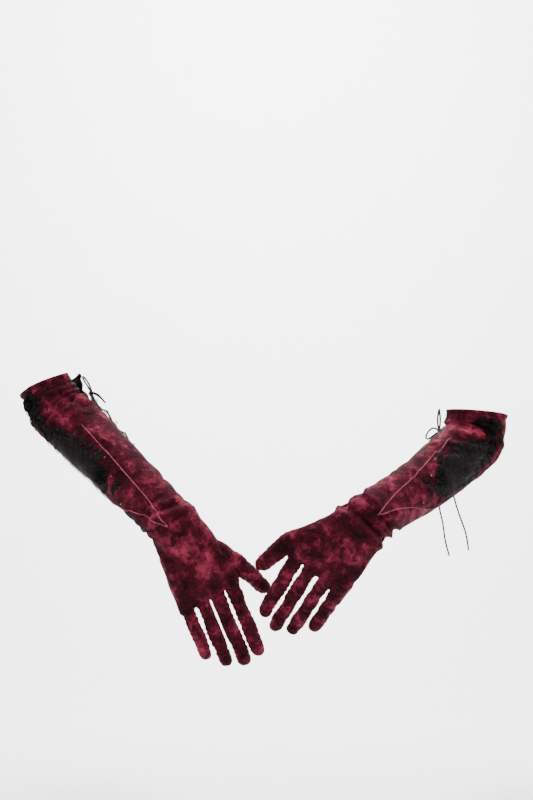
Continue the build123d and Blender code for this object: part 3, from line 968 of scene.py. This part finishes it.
LOWER_INNER_LEAF = (0.0100, 0.0044)
SPRIG_LEAF = (0.0125, 0.0056)
LEAF_LIFT, LEAF_RIM, LEAF_RIB = 0.0012, 0.0007, 0.0008
ELBOW_FLOWER = (-0.075, -53)


def beside(glove, share, angle, heading, forward, aside, lift):
    """Point on the velvet so far forward and aside of a spot, along a heading."""
    turned = math.radians(heading)
    ahead = forward * math.cos(turned) - aside * math.sin(turned)
    over = forward * math.sin(turned) + aside * math.cos(turned)
    across = between(ARM_SIZES, share, 1)
    return over_velvet(glove, share + ahead / glove["arm_length"], angle + math.degrees(over / across), lift)


def leaf(bm, glove, share, angle, heading, size):
    """Domed almond leaf with a raised edge and midrib; its stalk is at the given spot."""
    length, width = size

    def on_leaf(u, v):
        half = width / 2 * math.sin(math.pi * min(1.0, u * 1.02)) ** 0.8
        rim = hump(abs(2 * v - 1), 1.0, 0.28) * LEAF_RIM
        rib = hump(2 * v - 1, 0.0, 0.22) * LEAF_RIB
        return beside(glove, share, angle, heading, length * u, half * (2 * v - 1), LEAF_LIFT + rim + rib)

    mapped_grid(bm, 9, 8, on_leaf, uv_size=size)


def petal(bm, glove, share, angle, out, heading, radius, lift):
    """Cupped round petal whose middle is so far out from the flower's middle."""

    def on_petal(u, v):
        reach = radius * u
        around = v * math.tau
        cup = 0.0018 * u ** 4 - 0.0006 * u * (1 - u)
        forward = out + reach * math.cos(around)
        return beside(glove, share, angle, heading, forward, reach * math.sin(around), lift + cup)

    corners = mapped_grid(bm, 5, 14, on_petal, uv_size=(radius, math.tau * radius))
    bmesh.ops.remove_doubles(bm, verts=corners, dist=1e-6)


def stitched_piece(glove, name, bm, replaced):
    turn_out(bm)
    for face in bm.faces:
        outward = face.calc_center_median() - arm_centre(glove, 0.3)
        face.normal_update()
        if face.normal.dot(outward) < 0:
            face.normal_flip()
    piece = new_piece(name, bm, embroidery_finish)
    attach(piece, glove["name"] + "_sleeve")
    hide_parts(replaced)
    return piece


for side, glove in GLOVES.items():
    garland = bmesh.new()
    for share, angle in GARLAND_ROUTE:
        leaf(garland, glove, share, angle, 48, GARLAND_LEAF)
        leaf(garland, glove, share + 0.012, angle - 2, -62, GARLAND_LEAF)
    leaf(garland, glove, 0.45, -3, -5, GARLAND_END_LEAF)
    for share in LOWER_LEAVES:
        angle = between(NET_LOW, share)
        leaf(garland, glove, share, angle, 28, LOWER_OUTER_LEAF)
        leaf(garland, glove, share + 0.015, angle, -36, LOWER_INNER_LEAF)
    stitched_piece(glove, side + "_garland", garland, side + "_leaf_garland")
    sprig = bmesh.new()
    for share, angle in SPRIG_ROUTE:
        leaf(sprig, glove, share, angle, 52, SPRIG_LEAF)
        leaf(sprig, glove, share + 0.010, angle - 2, -58, SPRIG_LEAF)
    for step in range(5):
        petal(sprig, glove, *ELBOW_FLOWER, 0.0046, step * 72, 0.0036, 0.0028)
    stitched_piece(glove, side + "_sprig", sprig, side + "_elbow_sprig")


# ---- Rose ----
# Round embroidered rose at the wrist end of the net: two rings of cupped petals
# round a tight middle, and three leaves beyond it.
ROSE_SHARE, ROSE_ANGLE = 0.54, -31
# Rings: petals, distance from the middle, first heading, petal's radius, lift.
ROSE_RINGS = (
    (7, 0.0082, 0, 0.0044, 0.0012),
    (5, 0.0044, 20, 0.0035, 0.0024),
    (3, 0.0018, 50, 0.0024, 0.0036),
)
ROSE_LEAVES = 0.635

for side, glove in GLOVES.items():
    rose = bmesh.new()
    for count, out, first, radius, lift in ROSE_RINGS:
        for step in range(count):
            petal(rose, glove, ROSE_SHARE, ROSE_ANGLE, out, first + step * 360 / count, radius, lift)
    for heading in (-40, 4, 46):
        leaf(rose, glove, ROSE_LEAVES, ROSE_ANGLE + 3 + heading * 0.12, heading, SPRIG_LEAF)
    stitched_piece(glove, side + "_rose", rose, side + "_rose_motif")


# ---- Beads ----
# Small cut glass beads, sewn singly beside the rose and at the garland's end.
BEAD_RADIUS = 0.0012
BEAD_PLACES = ((0.605, -16), (0.735, -50), (0.50, 2))
bead_finish, tree, shader = new_material("cut glass bead")
facets = cells(tree, own_place(tree), 1400.0).outputs["Distance"]
finish = {
    "Base Color": (0.20, 0.17, 0.15, 1),
    "Metallic": 0.6,
    "Roughness": ranged(tree, facets, 0.0, 1.0, 0.08, 0.32),
}
feed(tree, shader, finish)
for side, glove in GLOVES.items():
    group = bmesh.new()
    for share, angle in BEAD_PLACES:
        bead = bmesh.ops.create_icosphere(group, subdivisions=1, radius=BEAD_RADIUS)["verts"]
        bmesh.ops.translate(group, verts=bead, vec=over_velvet(glove, share, angle, BEAD_RADIUS + 0.0002))
    piece = new_piece(side + "_cut_beads", group, bead_finish)
    piece.data.shade_flat()
    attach(piece, side + "_sleeve")
    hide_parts(side + "_beads")


# ---- Lace edging ----
# Narrow scalloped lace sewn along both edges of the slit, its scallops facing
# away from the lacing, with open eyelets between its threads.
LACE_WIDE = 0.0072
LACE_END = 0.5  # share of the forearm
SCALLOP_LONG, SCALLOP_DEEP = 0.0060, 0.0013
lace_finish, tree, shader = new_material("black scalloped lace")
eyelets = cells(tree, own_map(tree), 420.0, 0.25).outputs["Distance"]
lace_alpha = ranged(tree, eyelets, 0.22, 0.30, 0.15, 1.0)
finish = {
    "Base Color": two_tones(tree, eyelets, (0.004, 0.004, 0.004, 1), (0.030, 0.028, 0.028, 1)),
    "Alpha": lace_alpha,
    "Normal": raised(tree, lace_alpha, 0.8, 0.0006),
    "Roughness": 0.65,
    "Specular IOR Level": 0.2,
}
feed(tree, shader, finish)

for side, glove in GLOVES.items():
    for name, table, outward in (("inner", SLIT_FRONT, -1), ("under", SLIT_BACK, 1)):
        lace = bmesh.new()

        def on_lace(u, v):
            share = HEM + (LACE_END - HEM) * u
            run = (LACE_END - HEM) * u * glove["arm_length"]
            scallop = SCALLOP_DEEP * abs(math.sin(math.pi * run / SCALLOP_LONG))
            shift = outward * (-0.0006 + (LACE_WIDE - SCALLOP_DEEP + scallop) * v)
            lift = 0.0008 + 0.0008 * v * (1 - v)
            return over_velvet(glove, share, beside_seam(table, share, shift), lift)

        mapped_grid(lace, 200, 6, on_lace, uv_size=((LACE_END - HEM) * glove["arm_length"], LACE_WIDE))
        turn_out(lace)
        piece = new_piece(f"{side}_lace_{name}", lace, lace_finish)
        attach(piece, side + "_sleeve")
        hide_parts(f"{side}_lace_edging_{name}")


# ---- Lacing ----
# Five pairs of thread loops stand on the slit's edges, and two lengths of satin
# cord zigzag through them, crossing between the pairs, up to the bow.
LOOP_RING = 0.0030
LOOP_THREAD = 0.0006
LOOP_LIFT = 0.0024
LOOP_STATIONS = (0.13, 0.21, 0.29, 0.37, 0.45)
LOOP_ROOM = 0.0004  # between a loop and the slit's edge
CROSS_LIFT = 0.0014  # the upper cord's height over the middle of the loops
LOOP_PASS = 0.0032  # half the straight run of a cord through a loop
KNOT_RADIUS = 0.0034


def loop_spots(glove, lift):
    """Middle of each lacing loop, on the two sides of the slit."""
    reach = LOOP_RING + LOOP_THREAD + LOOP_ROOM
    sides = []
    for table, inward in ((SLIT_FRONT, reach), (SLIT_BACK, -reach)):
        row = []
        for share in LOOP_STATIONS:
            centre, spoke = arm_spoke(glove, share, beside_seam(table, share, inward))
            row.append(centre + spoke + spoke.normalized() * lift)
        sides.append(row)
    return sides


for side, glove in GLOVES.items():
    loops = bmesh.new()
    for row in loop_spots(glove, LOOP_LIFT):
        for share, spot in zip(LOOP_STATIONS, row):
            way = arm_way(glove, share)
            dorsal, thumbward = cross_axes(way, glove["side"])
            made = bmesh.ops.create_circle(loops, segments=8, radius=LOOP_THREAD)["verts"]
            for vert in made:
                vert.co = spot + dorsal * (LOOP_RING + vert.co.x) + way * vert.co.y
            edges = list({edge for vert in made for edge in vert.link_edges})
            bmesh.ops.spin(
                loops, geom=made + edges, cent=spot, axis=way, angle=math.tau, steps=24, use_merge=True
            )
    turn_out(loops)
    piece = new_piece(side + "_thread_loops", loops, embroidery_finish)
    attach(piece, side + "_sleeve")
    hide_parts(side + "_lacing_loops")
    for name, first_side, rise in (("lower", 0, -CROSS_LIFT), ("upper", 1, CROSS_LIFT)):
        sides = loop_spots(glove, LOOP_LIFT + rise)
        route = [BOW_KNOTS[side]]
        for step, share in enumerate(LOOP_STATIONS):
            spot = sides[(step + first_side) % 2][step]
            through = arm_way(glove, share) * LOOP_PASS
            route.extend([spot - through, spot + through])
        lacing = cord_along(f"{side}_lacing_{name}", route, CORD, cord_finish, side + "_sleeve")
        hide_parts(f"{side}_lacing_cord_{name}")
    knot = bmesh.new()
    bmesh.ops.create_uvsphere(knot, u_segments=20, v_segments=14, radius=KNOT_RADIUS)
    for vert in knot.verts:
        around = math.atan2(vert.co.y, vert.co.x)
        vert.co *= 1.0 + 0.12 * math.sin(2 * around + 900 * vert.co.z)
        vert.co += BOW_KNOTS[side]
    piece = new_piece(side + "_knot", knot, cord_finish)
    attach(piece, side + "_sleeve")
    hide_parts(side + "_bow_knot")


# ---- Floor, wall and light ----
# One pale sweep for floor and wall, and four large soft lamps, one of them on
# the wall.
FLOOR_HEIGHT, FLOOR_BACK, FLOOR_LONG = -0.62, 1.0, 9.0
WALL_TALL, WALL_STRETCH, SWEEP_BEND, SWEEP_WIDE = 2.4, 2.2, 1.2, 22.0
SWEEP_MIDDLE = 0.28
sweep = bmesh.new()


def on_sweep(u, v):
    run = v * (FLOOR_LONG + WALL_TALL)
    if run < FLOOR_LONG:
        back, up = run, 0.0
    elif run < FLOOR_LONG + SWEEP_BEND * math.pi / 2:
        turned = (run - FLOOR_LONG) / SWEEP_BEND
        back, up = FLOOR_LONG + SWEEP_BEND * math.sin(turned), SWEEP_BEND * (1 - math.cos(turned))
    else:
        back, up = FLOOR_LONG + SWEEP_BEND, SWEEP_BEND + run - FLOOR_LONG - SWEEP_BEND * math.pi / 2
    across = SWEEP_MIDDLE + (u - 0.5) * SWEEP_WIDE
    return Vector((across, FLOOR_BACK - FLOOR_LONG + back, FLOOR_HEIGHT + up * WALL_STRETCH))


mapped_grid(sweep, 4, 120, on_sweep)
turn_out(sweep)
mesh = bpy.data.meshes.new("pale_sweep")
sweep.to_mesh(mesh)
sweep.free()
mesh.shade_smooth()
sweep_finish, tree, shader = new_material("pale paper")
grain = clouds(tree, own_place(tree), 30.0, 2.0).outputs["Fac"]
feed(tree, shader, {"Base Color": ranged(tree, grain, 0.0, 1.0, 0.88, 0.92), "Roughness": 0.9})
mesh.materials.append(sweep_finish)
backdrop = new_object("pale_sweep", mesh)


def soft_lamp(name, place, aim, size, power):
    lamp = bpy.data.lights.new(name, "AREA")
    lamp.shape = "DISK"
    lamp.size = size
    lamp.energy = power
    holder = new_object(name, lamp)
    holder.location = place
    holder.rotation_euler = (Vector(aim) - Vector(place)).to_track_quat("-Z", "Y").to_euler()


MIDDLE = (0.28, -0.05, -0.15)
soft_lamp("key", (0.1, -1.2, 1.6), MIDDLE, 0.5, 95)
soft_lamp("fill", (1.9, -1.3, 0.7), MIDDLE, 1.2, 22)
soft_lamp("top", (0.3, 0.6, 1.6), MIDDLE, 1.2, 30)
soft_lamp("wall", (0.28, 0.9, 1.4), (0.28, 2.4, 0.2), 1.6, 150)
world = bpy.data.worlds.new("studio")
bpy.context.scene.world = world
world.use_nodes = True
world.node_tree.nodes["Background"].inputs["Color"].default_value = (1, 1, 1, 1)
world.node_tree.nodes["Background"].inputs["Strength"].default_value = 0.32
